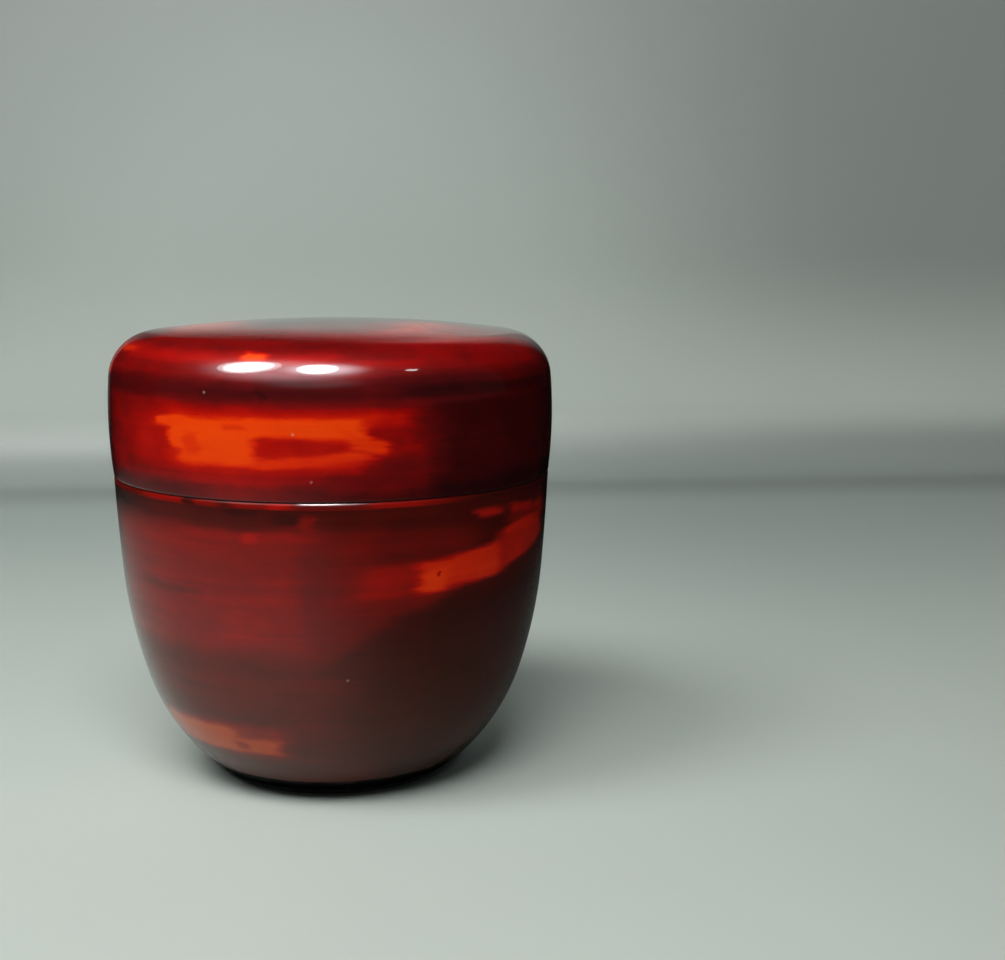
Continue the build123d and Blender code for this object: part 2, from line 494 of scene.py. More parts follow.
# %% [markdown]
# ## Formulas as shader nodes
#
# The finish is worked out from where a point is on the caddy. Written as nodes one by one,
# such formulas are long and hard to follow. A small class lets a node's output be used in
# an ordinary sum, and adds the Math node behind it.


# %% A shader value that can be written into a formula
def plug(tree, value, socket):
    """Feeds a socket with another node's output, or sets it to a plain value."""
    if isinstance(value, Value):
        tree.links.new(value.output, socket)
    else:
        socket.default_value = value


class Value:
    """An output of a node. Arithmetic on it adds Math nodes to the same tree."""

    def __init__(self, tree, output):
        self.tree = tree
        self.output = output

    def math(self, operation, *others):
        node = self.tree.nodes.new("ShaderNodeMath")
        node.operation = operation
        for value, socket in zip((self, *others), node.inputs):
            plug(self.tree, value, socket)
        return Value(self.tree, node.outputs[0])

    def __add__(self, other):
        return self.math("ADD", other)

    def __sub__(self, other):
        return self.math("SUBTRACT", other)

    def __mul__(self, other):
        return self.math("MULTIPLY", other)

    def __truediv__(self, other):
        return self.math("DIVIDE", other)


# %% Helpers for nodes, groups and materials
def add_node(tree, kind, outputs=(0,), settings=(), **inputs):
    """Adds a node, and returns the named or numbered outputs as values."""
    node = tree.nodes.new(kind)
    for name, value in dict(settings).items():
        setattr(node, name, value)
    for name, value in inputs.items():
        plug(tree, value, node.inputs[name.replace("_", " ")])
    found = [Value(tree, node.outputs[name]) for name in outputs]
    return found[0] if len(found) == 1 else found


def new_group(name, inputs, outputs):
    """A shader group with named sockets. Returns the group and its inputs as values."""
    group = bpy.data.node_groups.new(name, "ShaderNodeTree")
    for label, kind in inputs:
        group.interface.new_socket(label, in_out="INPUT", socket_type=f"NodeSocket{kind}")
    for label, kind in outputs:
        group.interface.new_socket(label, in_out="OUTPUT", socket_type=f"NodeSocket{kind}")
    entry = group.nodes.new("NodeGroupInput")
    return group, [Value(group, entry.outputs[label]) for label, _ in inputs]


def new_material(name):
    """A material with nodes. Returns the material and its tree."""
    material = bpy.data.materials.new(name)
    material.use_nodes = True
    return material, material.node_tree


def give_out(group, *values):
    """Feeds a group's outputs, in order."""
    leave = group.nodes.new("NodeGroupOutput")
    for value, socket in zip(values, leave.inputs):
        plug(group, value, socket)


def use_group(tree, group, **inputs):
    """Puts a group into a tree with its own values, and returns its outputs."""
    node = tree.nodes.new("ShaderNodeGroup")
    node.node_tree = group
    for name, value in inputs.items():
        plug(tree, value, node.inputs[name.replace("_", " ")])
    found = [Value(tree, output) for output in node.outputs]
    return found[0] if len(found) == 1 else found


def step_up(value, low, high):
    """A smooth step from 0 to 1 between two levels, which may be values too."""
    return add_node(
        value.tree, "ShaderNodeMapRange", settings={"interpolation_type": "SMOOTHSTEP"},
        Value=value, From_Min=low, From_Max=high, To_Min=0.0, To_Max=1.0,
    )


def blend(factor, first, second):
    """first x (1 - factor) + second x factor."""
    return add_node(
        factor.tree, "ShaderNodeMix", outputs=("Result",), Factor=factor, A=first, B=second,
    )


def object_place(tree):
    """The point on the piece, in metres, in the frame's own axes."""
    return add_node(tree, "ShaderNodeTexCoord", outputs=("Object",))


def noise(tree, place, scale, detail=2.0, roughness=0.5, distortion=0.0):
    """Smooth noise from 0 to 1, with so many cells to a unit of place."""
    return add_node(
        tree, "ShaderNodeTexNoise", Vector=place, Scale=scale, Detail=detail,
        Roughness=roughness, Distortion=distortion,
    )


# %% Paint as it is seen, and as light
def paint(red, green, blue):
    """Screen levels from 0 to 255 as linear light, which is what a shader socket takes."""
    level = np.array([red, green, blue]) / 255
    light = np.where(level <= 0.04045, level / 12.92, ((level + 0.055) / 1.055) ** 2.4)
    return (*light.tolist(), 1.0)


# %% [markdown]
# ## Where a point is on the turned surface
#
# A patch on a turned piece is easiest to place by two numbers: how many degrees round from
# the front it is, and how many millimetres up. The crown is nearly flat, so it is painted in
# plan instead, in millimetres to the right and back. One group gives all four.

# %% Group: the place on a turned piece
turned_place, (point,) = new_group(
    "turned place",
    [("Point", "Vector")],
    [("Degrees", "Float"), ("Height", "Float"), ("Right", "Float"), ("Back", "Float")],
)
x, y, z = add_node(turned_place, "ShaderNodeSeparateXYZ", outputs=("X", "Y", "Z"), Vector=point)
front = y * -1
give_out(
    turned_place,
    x.math("ARCTAN2", front) * degrees(1),
    z / mm,
    x / mm,
    y / mm,
)

# %% [markdown]
# ## One polished patch
#
# Polishing through a coat leaves patches that follow the turning: long level bars with soft
# edges, some of them rising or tapering. Each is described the way one would mark it out on
# the piece: where its left and right ends are, how low and how high it is at each end, how
# soft its ends and edges are, and how far through the coat it goes. The patches are laid one
# over another, so a dark island can lie inside a bright one.

# %% Group: a patch laid over what is there
patch_inputs = [
    "Under", "Round", "Up", "Level", "Left", "Left low", "Left high",
    "Right", "Right low", "Right high", "End softness", "Edge softness",
]
polished_patch, patch_values = new_group(
    "polished patch", [(label, "Float") for label in patch_inputs], [("Level", "Float")]
)
(under, around, up, level, left, left_low, left_high,
 right, right_low, right_high, end_soft, edge_soft) = patch_values
share = (around - left) / (right - left)
share = share.math("MAXIMUM", 0.0).math("MINIMUM", 1.0)
low_edge = blend(share, left_low, right_low)
high_edge = blend(share, left_high, right_high)
from_left = step_up(around, left - end_soft, left + end_soft)
from_right = step_up(around, right + end_soft, right - end_soft)
from_below = step_up(up, low_edge - edge_soft, low_edge + edge_soft)
from_above = step_up(up, high_edge + edge_soft, high_edge - edge_soft)
cover = from_left * from_right * from_below * from_above
give_out(polished_patch, blend(cover, under, level))


# %% A list of patches, laid one over another
Patch = namedtuple("Patch", "level left right soft")


def lay_patches(tree, under, around, up, patches):
    """Each patch is its level, (place, low, high) at both ends, and (end, edge) softness."""
    for patch in patches.values():
        under = use_group(
            tree, polished_patch, Under=under, Round=around, Up=up, Level=patch.level,
            Left=patch.left[0], Left_low=patch.left[1], Left_high=patch.left[2],
            Right=patch.right[0], Right_low=patch.right[1], Right_high=patch.right[2],
            End_softness=patch.soft[0], Edge_softness=patch.soft[1],
        )
    return under


# %% [markdown]
# ## Edges that a hand left
#
# A patch with a ruled edge looks printed. The stone wandered, so the edges are moved about
# by noise before the patches are laid. The noise is drawn out round the piece, because the
# polishing followed the turning, and it has a coarse and a fine part.


# %% Stretched places and the group for ragged edges
def stretched(tree, place, flat, upright):
    """The place with its two level parts and its height scaled apart."""
    scale = add_node(tree, "ShaderNodeCombineXYZ", X=flat, Y=flat, Z=upright)
    return add_node(tree, "ShaderNodeMapping", Vector=place, Scale=scale)


def two_noises(tree, place, scale, detail):
    """Two noises that don't follow each other, both about -1 to 1."""
    colour = add_node(
        tree, "ShaderNodeTexNoise", outputs=("Color",), Vector=place, Scale=scale, Detail=detail,
    )
    first, second, _ = add_node(
        tree, "ShaderNodeSeparateColor", outputs=("Red", "Green", "Blue"), Color=colour,
    )
    return (first - 0.5) * 2, (second - 0.5) * 2


ragged_edges, (point, around, up, around_reach, up_reach) = new_group(
    "ragged edges",
    [
        ("Point", "Vector"), ("Round", "Float"), ("Up", "Float"),
        ("Round reach", "Float"), ("Up reach", "Float"),
    ],
    [("Round", "Float"), ("Up", "Float")],
)
coarse = two_noises(ragged_edges, stretched(ragged_edges, point, 110.0, 420.0), 1.0, 2.0)
fine = two_noises(ragged_edges, stretched(ragged_edges, point, 420.0, 2100.0), 1.0, 3.0)
give_out(
    ragged_edges,
    around + (coarse[0] + fine[0] * 0.5) * around_reach,
    up + (coarse[1] + fine[1] * 0.45) * up_reach,
)

# %% [markdown]
# ## Streaks, mottling, dust and hairlines
#
# Between the patches the coat isn't even. Fine streaks run round the piece where the tool and
# the brush went, and a cloudy mottling comes from how thick the dark coat was laid. On the
# gloss sit a few specks of dust, and hairlines from wiping. All four are shared groups, so
# each material sets its own strength.

# %% Group: streaks round the lathe's axis
lathe_streaks, (point, flat, upright) = new_group(
    "lathe streaks",
    [("Point", "Vector"), ("Round scale", "Float"), ("Up scale", "Float")],
    [("Streak", "Float")],
)
broad = noise(lathe_streaks, stretched(lathe_streaks, point, flat, upright), 1.0, 3.0, 0.62)
give_out(lathe_streaks, (broad - 0.5) * 2)

# %% Group: cloudy mottling
cloudy_mottling, (point, scale) = new_group(
    "cloudy mottling", [("Point", "Vector"), ("Scale", "Float")], [("Cloud", "Float")],
)
cloud = noise(cloudy_mottling, stretched(cloudy_mottling, point, 1.0, 1.8), scale, 5.0, 0.55, 0.4)
give_out(cloudy_mottling, (cloud - 0.5) * 2)

# %% Group: dust specks and wiping hairlines
gloss_marks, (point, dust) = new_group(
    "gloss marks",
    [("Point", "Vector"), ("Dust", "Float")],
    [("Speck", "Float"), ("Hairline", "Float")],
)
nearest = add_node(
    gloss_marks, "ShaderNodeTexVoronoi", outputs=("Distance",),
    Vector=point, Scale=260.0, Randomness=1.0,
)
chosen = noise(gloss_marks, point, 170.0, 1.0)
speck = step_up(nearest, 0.075, 0.02) * step_up(chosen + dust, 0.6, 0.66)
scratch_path = noise(gloss_marks, stretched(gloss_marks, point, 24.0, 60.0), 1.0, 2.0, 0.5, 1.2)
hairline = step_up(((scratch_path - 0.5) * 60).math("SINE").math("ABSOLUTE"), 0.05, 0.0)
give_out(gloss_marks, speck, hairline * step_up(noise(gloss_marks, point, 90.0), 0.55, 0.7))

# %% [markdown]
# ## From depth of polish to colour
#
# One number says how far the polishing went: 0 is the dark coat at its full depth and 1 is
# bare vermilion. In between, the thinned dark coat acts as a filter, so the colour runs from
# near-black through maroon and crimson to vermilion. A colour ramp holds that run, and it
# keeps both the lid and the body in one family of colours.


# %% Colours of the coats
def blend_colour(tree, factor, first, second):
    """first where the factor is 0 and second where it is 1."""
    node = tree.nodes.new("ShaderNodeMix")
    node.data_type = "RGBA"
    plug(tree, factor, node.inputs[0])
    plug(tree, first, node.inputs[6])
    plug(tree, second, node.inputs[7])
    return Value(tree, node.outputs[2])


vermilion_through_black = (
    (0.0, paint(17, 5, 6)),
    (0.25, paint(65, 7, 9)),
    (0.5, paint(126, 9, 8)),
    (0.7, paint(182, 6, 2)),
    (0.85, paint(229, 36, 1)),
    (1.0, paint(255, 82, 3)),
)
lacquer_colour, (depth,) = new_group("lacquer colour", [("Polish", "Float")], [("Color", "Color")])
ramp = lacquer_colour.nodes.new("ShaderNodeValToRGB")
ramp.color_ramp.interpolation = "B_SPLINE"
ramp.color_ramp.elements.remove(ramp.color_ramp.elements[1])
ramp.color_ramp.elements[0].color = vermilion_through_black[0][1]
for place, colour in vermilion_through_black[1:]:
    ramp.color_ramp.elements.new(place).color = colour
plug(lacquer_colour, depth, ramp.inputs[0])
give_out(lacquer_colour, Value(lacquer_colour, ramp.outputs[0]))
print("colours from black to vermilion:", len(ramp.color_ramp.elements))

# %% [markdown]
# ## The lid's pattern
#
# The lid's bright field sits low on the front, a little to the left, with two bars that run
# off it to the right and a darker island between them. Above it lies a dark band, and the
# shoulder is crimson. The patches here were placed one by one, by degrees round from the
# front and millimetres up. The back has never been seen, so it gets patches of the same kind.

# %% Patches on the lid's side
lid_side_patches = {
    "front ground": Patch(0.52, (-72, 48.3, 59.7), (21, 48.4, 59.5), (7, 0.9)),
    "low middle": Patch(0.44, (-34, 45.0, 48.8), (-8, 45.0, 48.8), (8, 0.9)),
    "lower red": Patch(0.6, (-38, 48.5, 51.2), (-9, 48.5, 51.2), (6, 0.6)),
    "lower right red": Patch(0.41, (-3, 45.0, 50.8), (21, 45.0, 52.4), (4, 0.8)),
    "low right shade": Patch(0.25, (0, 44.0, 47.6), (23, 44.0, 47.4), (5, 0.7)),
    "left deep red": Patch(0.66, (-57, 50.8, 57.9), (-38, 50.8, 58.3), (6, 0.9)),
    "field's surround": Patch(0.76, (-43, 50.7, 58.5), (7, 50.5, 58.3), (3.5, 0.9)),
    "right bar": Patch(0.74, (5, 56.1, 58.5), (19, 56.2, 58.4), (4, 0.7)),
    "right of the field": Patch(0.57, (9, 52.8, 55.8), (19, 53.2, 55.9), (3, 0.8)),
    "field, upper part": Patch(0.95, (-41.5, 53.2, 57.6), (-17, 53.2, 57.4), (1.6, 0.55)),
    "field, lower part": Patch(0.93, (-38.5, 51.3, 54.2), (-18, 51.1, 54.2), (2.2, 0.6)),
    "left lip": Patch(0.93, (-46, 56.1, 57.2), (-36, 56.0, 57.5), (2, 0.4)),
    "upper bar": Patch(0.93, (-21, 55.2, 57.5), (7, 54.9, 57.4), (2.5, 0.5)),
    "hook": Patch(0.87, (2.5, 53.6, 56.0), (12, 52.4, 54.5), (1.8, 0.55)),
    "lower bar": Patch(0.85, (-19, 50.5, 51.9), (8.5, 52.0, 53.2), (3, 0.45)),
    "island": Patch(0.69, (-18, 52.2, 54.9), (3, 53.1, 54.2), (2.4, 0.5)),
    "mottle in the field": Patch(0.87, (-36.5, 52.4, 55.6), (-32.8, 52.4, 55.4), (1.2, 0.6)),
    "smudge in the field": Patch(0.86, (-26, 56.0, 56.8), (-20, 56.0, 56.8), (1.4, 0.35)),
    "dark right": Patch(0.19, (27, 44.0, 59.8), (75, 44.0, 60.6), (5, 1.3)),
    "low dark right": Patch(0.09, (26, 44.0, 48.3), (75, 44.0, 49.0), (5, 0.8)),
    "dark band on the right": Patch(0.13, (16, 60.3, 61.9), (72, 60.1, 61.7), (9, 0.6)),
    "dark mark": Patch(0.14, (-18, 60.0, 61.3), (-16.6, 60.0, 61.3), (0.8, 0.6)),
    "back field": Patch(0.9, (128, 50.8, 55.4), (158, 51.6, 57.2), (3, 0.6)),
    "back bar": Patch(0.8, (148, 54.6, 57.4), (170, 55.4, 57.0), (4, 0.6)),
    "right-hand stroke": Patch(0.74, (78, 48.6, 51.8), (112, 50.0, 53.4), (5, 0.8)),
    "left-hand stroke": Patch(0.78, (-124, 52.4, 56.8), (-92, 51.6, 54.6), (4, 0.7)),
    "left-hand bar": Patch(0.88, (-112, 53.6, 55.6), (-98, 53.0, 54.6), (3, 0.5)),
    "back low red": Patch(0.58, (-164, 47.2, 51.4), (-130, 48.4, 52.6), (8, 1.0)),
    # Painted shade: the lid's rounded lower edge is near-black all round, standing for the dark
    # groove between lid and body.
    "painted shade on the lower edge": Patch(0.04, (-181, 44.0, 46.36), (181, 44.0, 46.36), (1, 0.08)),
}

# %% Patches on the lid's shoulder
lid_shoulder_patches = {
    "crimson": Patch(0.51, (-78, 62.6, 66.9), (6, 62.7, 66.7), (8, 0.9)),
    "right crimson": Patch(0.47, (1, 63.2, 69.0), (70, 63.4, 69.0), (8, 0.9)),
    "glow along": Patch(0.64, (-68, 64.7, 66.0), (2, 64.6, 65.8), (7, 0.5)),
    "right glow": Patch(0.58, (0, 64.3, 65.6), (23, 63.7, 65.0), (5, 0.5)),
    "left top": Patch(0.68, (-90, 65.6, 68.0), (-60, 65.8, 67.0), (8, 0.6)),
    "left line": Patch(0.88, (-90, 65.1, 66.1), (-64, 65.2, 66.0), (6, 0.35)),
    "left bend": Patch(0.84, (-88, 61.6, 65.4), (-75, 61.6, 65.6), (2, 0.6)),
    # Bare vermilion, brightened further by painted glow from the left lamp's highlight just below it.
    "vermilion with painted glow above the left spot": Patch(1.0, (-23.5, 65.0, 66.1), (-17, 65.0, 66.0), (1.6, 0.35)),
    "back crimson": Patch(0.5, (92, 63.4, 67.0), (160, 64.2, 67.4), (12, 0.6)),
    "back patch": Patch(0.86, (118, 64.4, 65.8), (136, 64.8, 66.2), (3, 0.4)),
    "far left crimson": Patch(0.46, (-160, 63.0, 66.8), (-96, 63.6, 67.0), (12, 0.6)),
}

# %% Patches on the crown, in millimetres back along the first number and right along the others
crown_patches = {
    "front crimson": Patch(0.55, (-40, -34, 34), (-6, -34, 34), (14, 6)),
    "front line": Patch(0.38, (-40, -34, 34), (-27.6, -34, 34), (3, 6)),
    "left end": Patch(0.46, (-28, -36, -24), (4, -36, -24), (8, 3)),
    "left halo": Patch(0.7, (-15, -25, -11.5), (25, -25, -12.5), (9, 3)),
    "left stroke": Patch(0.96, (-9, -23, -15), (25.7, -22.4, -15.4), (8, 2.4)),
    "right halo": Patch(0.66, (-23, 3, 19), (1, 9, 24), (10, 5)),
    "right stroke": Patch(0.9, (-17, 6.8, 12.6), (-3.5, 12.6, 18.4), (6, 3)),
    "back smear": Patch(0.4, (8, -6, 13), (22, 2, 17), (7, 4)),
}
print("patches on the lid:", len(lid_side_patches) + len(lid_shoulder_patches) + len(crown_patches))

# %% The lid's polish, from its patches, streaks and mottling
lid_ground, crown_ground = 0.28, 0.12


def polish_with_wear(tree, point, level, streak_share, cloud_share):
    """Adds streaks and clouds, which fade at both ends as level x (1 - level) x 4."""
    room = (level * (level * -1 + 1) * 4).math("MAXIMUM", 0.12)
    streak = use_group(tree, lathe_streaks, Point=point, Round_scale=22.0, Up_scale=900.0)
    cloud = use_group(tree, cloudy_mottling, Point=point, Scale=150.0)
    return level + room * (streak * streak_share + cloud * cloud_share)


def lid_polish(tree, point):
    """The side's patches, with the crown's over them above the shoulder's top."""
    around, up, right, back = use_group(tree, turned_place, Point=point)
    side_around, side_up = use_group(
        tree, ragged_edges, Point=point, Round=around, Up=up, Round_reach=3.6, Up_reach=0.5,
    )
    side_up = blend(step_up(up, 47.0, 46.5), side_up, up)
    level = lay_patches(tree, lid_ground, side_around, side_up, lid_side_patches)
    level = lay_patches(tree, level, side_around, side_up, lid_shoulder_patches)
    crown_back, crown_right = use_group(
        tree, ragged_edges, Point=point, Round=back, Up=right, Round_reach=1.0, Up_reach=2.2,
    )
    crown = lay_patches(tree, crown_ground, crown_back, crown_right, crown_patches)
    return polish_with_wear(tree, point, blend(step_up(up, 66.2, 67.3), level, crown), 0.1, 0.17)


# %% [markdown]
# ## Gloss
#
# Lacquer is a coloured layer under a clear, hard one, so the shader has the same two: a
# satin base that carries the colour and the fine tool lines, and a clear coat that mirrors
# the lamps. Only the base is roughened. If the coat had the same bumps, the mirrored lamps
# would break up, and a well-polished piece doesn't do that.


# %% Finish a lacquer material
def lacquer_finish(tree, point, colour, line_height, dust=0.0, shine=1.0):
    """Colour, dust, hairlines and tool lines on the shader's sockets."""
    shader = tree.nodes["Principled BSDF"]
    speck, hairline = use_group(tree, gloss_marks, Point=point, Dust=dust)
    streak = use_group(tree, lathe_streaks, Point=point, Round_scale=14.0, Up_scale=2600.0)
    dusty = blend_colour(tree, speck * 0.45, colour, paint(176, 168, 158))
    roughness = (streak * 0.05 + 0.33 + hairline * 0.12 + speck * 0.3).math("MINIMUM", 0.9)
    bump = add_node(
        tree, "ShaderNodeBump", Strength=0.25, Distance=line_height,
        Height=streak * 0.5 + hairline * -0.4 + speck * 0.3,
    )
    clear_coat = (speck * -0.1 + hairline * -0.06 + 1) * shine
    plug(tree, dusty, shader.inputs["Base Color"])
    plug(tree, roughness, shader.inputs["Roughness"])
    plug(tree, bump, shader.inputs["Normal"])
    plug(tree, clear_coat, shader.inputs["Coat Weight"])
    shader.inputs["Specular IOR Level"].default_value = 0.06
    shader.inputs["Coat Roughness"].default_value = 0.05
    shader.inputs["Coat IOR"].default_value = 1.43


# %% The lid's material, dustier on top and dull on its lower edge
mottled_lid, tree = new_material("mottled_lacquer_lid")
point = object_place(tree)
colour = use_group(tree, lacquer_colour, Polish=lid_polish(tree, point))
_, up, _, _ = use_group(tree, turned_place, Point=point)
top_dust = step_up(up, 60.0, 67.0) * 0.14
edge_shine = step_up(up, 46.2, 46.45) * 0.9 + 0.1
lacquer_finish(tree, point, colour, 0.02 * mm, dust=top_dust, shine=edge_shine)
lid_skin.data.materials.append(mottled_lid)
print("nodes in the lid's material:", len(tree.nodes))

# %% [markdown]
# ## The body's pattern
#
# The body is calmer. Its front is an even red-brown with fine level streaks, darker towards
# the right. One long orange stroke crosses the right side below the mouth, and a bright one
# lies low on the left. Towards the foot the bright patches are yellower and the ground is
# browner.
#
# The eased edge of the mouth draws a thin line under the lid. Every lifting of the lid rubs
# it, so it is red along the front, nicked here and there, and dull all round but for one
# short stretch that still mirrors the lamp.

# %% Patches on the body
body_patches = {
    "lower band": Patch(0.35, (-100, -4, 30), (2, -4, 30), (12, 2)),
    "front ground": Patch(0.5, (-78, 24.2, 42.5), (-4, 24.4, 42.7), (9, 1.7)),
    "front middle": Patch(0.42, (-6, 24.0, 42.7), (14, 28.5, 42.5), (6, 1.7)),
    "right ground": Patch(0.38, (11, 31.0, 42.2), (36, 33.0, 42.0), (7, 1.4)),
    "warm centre": Patch(0.55, (-28, 26.0, 33), (-17, 26.0, 33), (5, 1.6)),
    "under the stroke": Patch(0.43, (7, 30.2, 33), (29, 30.6, 33), (5, 1.0)),
    "lower brown line": Patch(0.39, (-52, 19.0, 21.2), (4, 19.0, 21.0), (8, 0.8)),
    "dark streak": Patch(0.38, (-57, 32.5, 33.7), (-37, 32.4, 33.5), (6, 0.5)),
    "red line": Patch(0.55, (-38, 40.6, 42.0), (-6, 40.6, 42.1), (6, 0.5)),
    "under the mouth": Patch(0.25, (-56, 43.7, 45.0), (26, 43.4, 45.0), (6, 0.8)),
    "dark under the mouth": Patch(0.05, (-98, 42.6, 44.9), (-62, 43.6, 44.9), (6, 0.6)),
    "blob under the mouth": Patch(0.14, (-15.5, 43.2, 44.7), (-9, 43.2, 44.7), (1.8, 0.5)),
    "second blob": Patch(0.14, (-27, 44.3, 45.1), (-20, 44.3, 45.1), (1.8, 0.35)),
    "short smear": Patch(0.46, (-8, 42.0, 44.5), (-3.6, 42.0, 44.5), (1.4, 0.6)),
    "small orange spot": Patch(0.67, (-22.2, 40.6, 42.1), (-18.8, 40.7, 42.1), (1.4, 0.45)),
    "dark right": Patch(0.14, (24, -4, 31.4), (100, -4, 34.2), (7, 1.6)),
    "stroke's left fade": Patch(0.58, (6, 32.7, 37.3), (22, 32.6, 37.6), (5, 0.8)),
    "orange stroke": Patch(0.81, (20.5, 33.1, 37.4), (48, 33.8, 39.0), (3.2, 0.7)),
    "stroke's bright start": Patch(0.88, (20.5, 33.0, 36.0), (29, 33.1, 36.8), (2.5, 0.6)),
    "stroke's end": Patch(0.72, (46, 34.0, 40.4), (70, 37.4, 43.6), (5, 0.8)),
    "line in the stroke's end": Patch(0.46, (47, 41.2, 42.0), (66, 41.2, 42.1), (3, 0.4)),
    "spot in the stroke": Patch(0.55, (25.4, 35.1, 35.9), (26.6, 35.1, 35.9), (0.7, 0.3)),
    "first red fleck": Patch(0.64, (37, 42.6, 44.2), (46, 42.4, 44.0), (2, 0.5)),
    "second red fleck": Patch(0.62, (48, 42.2, 43.8), (62, 42.1, 43.6), (2, 0.5)),
    # Painted shade: low by the foot the ground is darkened, and nearly to black on the right and
    # back, where the shadow falls.
    "foot shade": Patch(0.25, (-110, -4, 7.1), (12, -4, 7.1), (12, 0.7)),
    "painted shade right of the foot": Patch(0.05, (18, -4, 7.0), (200, -4, 7.0), (9, 1.0)),
    "low left halo": Patch(0.56, (-90, 7.9, 13.2), (-15, 7.9, 13.3), (5, 0.8)),
    "low left patch": Patch(0.84, (-72, 8.2, 12.3), (-33, 8.2, 12.5), (3, 0.6)),
    "low left tail": Patch(0.81, (-34, 8.2, 10.9), (-17, 8.4, 10.8), (3, 0.55)),
    "smudge in the tail": Patch(0.62, (-33, 8.8, 10.2), (-28.5, 8.8, 10.2), (1.5, 0.45)),
    "back ground": Patch(0.46, (118, 20, 42.6), (158, 22, 42.6), (14, 1.8)),
    "back stroke": Patch(0.84, (126, 27.6, 32.4), (162, 29.4, 33.2), (5, 0.8)),
    "back stroke's heart": Patch(0.93, (138, 29.0, 31.6), (156, 29.8, 32.4), (4, 0.6)),
    "left-hand ground": Patch(0.44, (-160, 22, 42.6), (-104, 24, 42.6), (13, 1.6)),
    "left-hand stroke": Patch(0.82, (-136, 35.6, 39.2), (-102, 34.4, 38.0), (5, 0.8)),
    "right-hand low patch": Patch(0.8, (88, 9.6, 13.6), (124, 8.8, 12.4), (6, 0.8)),
}

# %% Rubbed places on the edge of the mouth
mouth_edge_patches = {
    "all round": Patch(0.32, (-181, 45.3, 47), (181, 45.3, 47), (1, 0.2)),
    "rubbed red": Patch(0.52, (-54, 45.3, 47), (27, 45.3, 47), (5, 0.2)),
    "dark nick": Patch(0.2, (-38.2, 45.2, 47), (-34.4, 45.2, 47), (1.2, 0.2)),
    "second nick": Patch(0.3, (-29, 45.2, 47), (-25.4, 45.2, 47), (1.6, 0.2)),
    "brighter red": Patch(0.68, (-17, 45.3, 47), (-11.5, 45.3, 47), (2.2, 0.2)),
    "dull under the lamp": Patch(0.38, (-10, 45.3, 47), (9, 45.3, 47), (1.6, 0.2)),
    "orange": Patch(0.57, (10.5, 45.4, 47), (23, 45.4, 47), (3, 0.15)),
    "dark on the right": Patch(0.13, (36, 45.2, 47), (98, 45.2, 47), (6, 0.2)),
    "rubbed at the back": Patch(0.55, (118, 45.3, 47), (162, 45.3, 47), (8, 0.2)),
}
print("patches on the body:", len(body_patches) + len(mouth_edge_patches))

# %% The body's polish, from its patches, streaks and mottling
body_ground = 0.2


def body_polish(tree, point):
    """The body's patches over a dark ground, with the rubbed edge of the mouth over them."""
    around, up, _, _ = use_group(tree, turned_place, Point=point)
    patch_around, patch_up = use_group(
        tree, ragged_edges, Point=point, Round=around, Up=up, Round_reach=4.2, Up_reach=0.5,
    )
    level = lay_patches(tree, body_ground, patch_around, patch_up, body_patches)
    level = lay_patches(tree, level, patch_around, up, mouth_edge_patches)
    return polish_with_wear(tree, point, level, 0.085, 0.1)


# %% The body's material, yellower and browner towards the foot
mottled_body, tree = new_material("mottled_lacquer_body")
point = object_place(tree)
polish = body_polish(tree, point)
colour = use_group(tree, lacquer_colour, Polish=polish)
around, up, _, _ = use_group(tree, turned_place, Point=point)
yellowed = step_up(polish, 0.5, 0.9) * step_up(up, 17.0, 13.0) * 0.42
colour = blend_colour(tree, yellowed, colour, paint(196, 112, 30))
browned = step_up(up, 34.0, 10.0) * 0.2 + 0.08
colour = blend_colour(tree, browned, colour, paint(84, 48, 12))
mouth_shine = {
    "rubbed dull": Patch(0.0, (-181, 45.6, 47), (181, 45.6, 47), (1, 0.1)),
    "still bright": Patch(1.0, (-8.5, 45.5, 47), (8, 45.5, 47), (1.5, 0.1)),
}
shine = lay_patches(tree, 1.0, around, up, mouth_shine)
lacquer_finish(tree, point, colour, 0.03 * mm, shine=shine)
body_skin.data.materials.append(mottled_body)
print("nodes in the body's material:", len(tree.nodes))

# %% [markdown]
# ## Black lacquer and bare wood
#
# The inside, the rim and the foot are plain black, polished like the rest. Black lacquer is
# a very dark brown, never a pure black. The wooden cores are all coated, so they show only
# where someone takes the model apart. They still get their grain: growth layers cut across
# by the lathe, with fine pores along them.

# %% Black lacquer for the inside, the rim and the foot
black_lacquer, tree = new_material("black_lacquer_polished")
point = object_place(tree)
cloud = use_group(tree, cloudy_mottling, Point=point, Scale=120.0)
colour = blend_colour(tree, step_up(cloud, -0.5, 0.6), paint(9, 8, 8), paint(19, 12, 11))
lacquer_finish(tree, point, colour, 0.02 * mm)
for skin in (rim_skin, cup_lining, foot_skin, lid_lining):
    skin.data.materials.append(black_lacquer)

# %% Turned wood for the cores
turned_wood, tree = new_material("turned_wood_core")
point = object_place(tree)
layered = add_node(
    tree, "ShaderNodeMapping", Vector=point, Location=(0.11, 0.02, 0), Rotation=(0.1, 0.16, 0.3),
    Scale=(1, 1, 0.3),
)
rings = add_node(
    tree, "ShaderNodeTexWave", outputs=("Fac",),
    settings={"wave_type": "RINGS", "rings_direction": "Z"},
    Vector=layered, Scale=95.0, Distortion=2.4, Detail=3.0, Detail_Scale=1.4,
)
pores = noise(tree, stretched(tree, point, 2600.0, 180.0), 1.0, 2.0)
grain = blend_colour(tree, rings, paint(196, 158, 112), paint(158, 116, 74))
grain = blend_colour(tree, step_up(pores, 0.6, 0.72) * 0.6, grain, paint(104, 72, 44))
shader = tree.nodes["Principled BSDF"]
plug(tree, grain, shader.inputs["Base Color"])
plug(tree, rings * 0.1 + 0.55, shader.inputs["Roughness"])
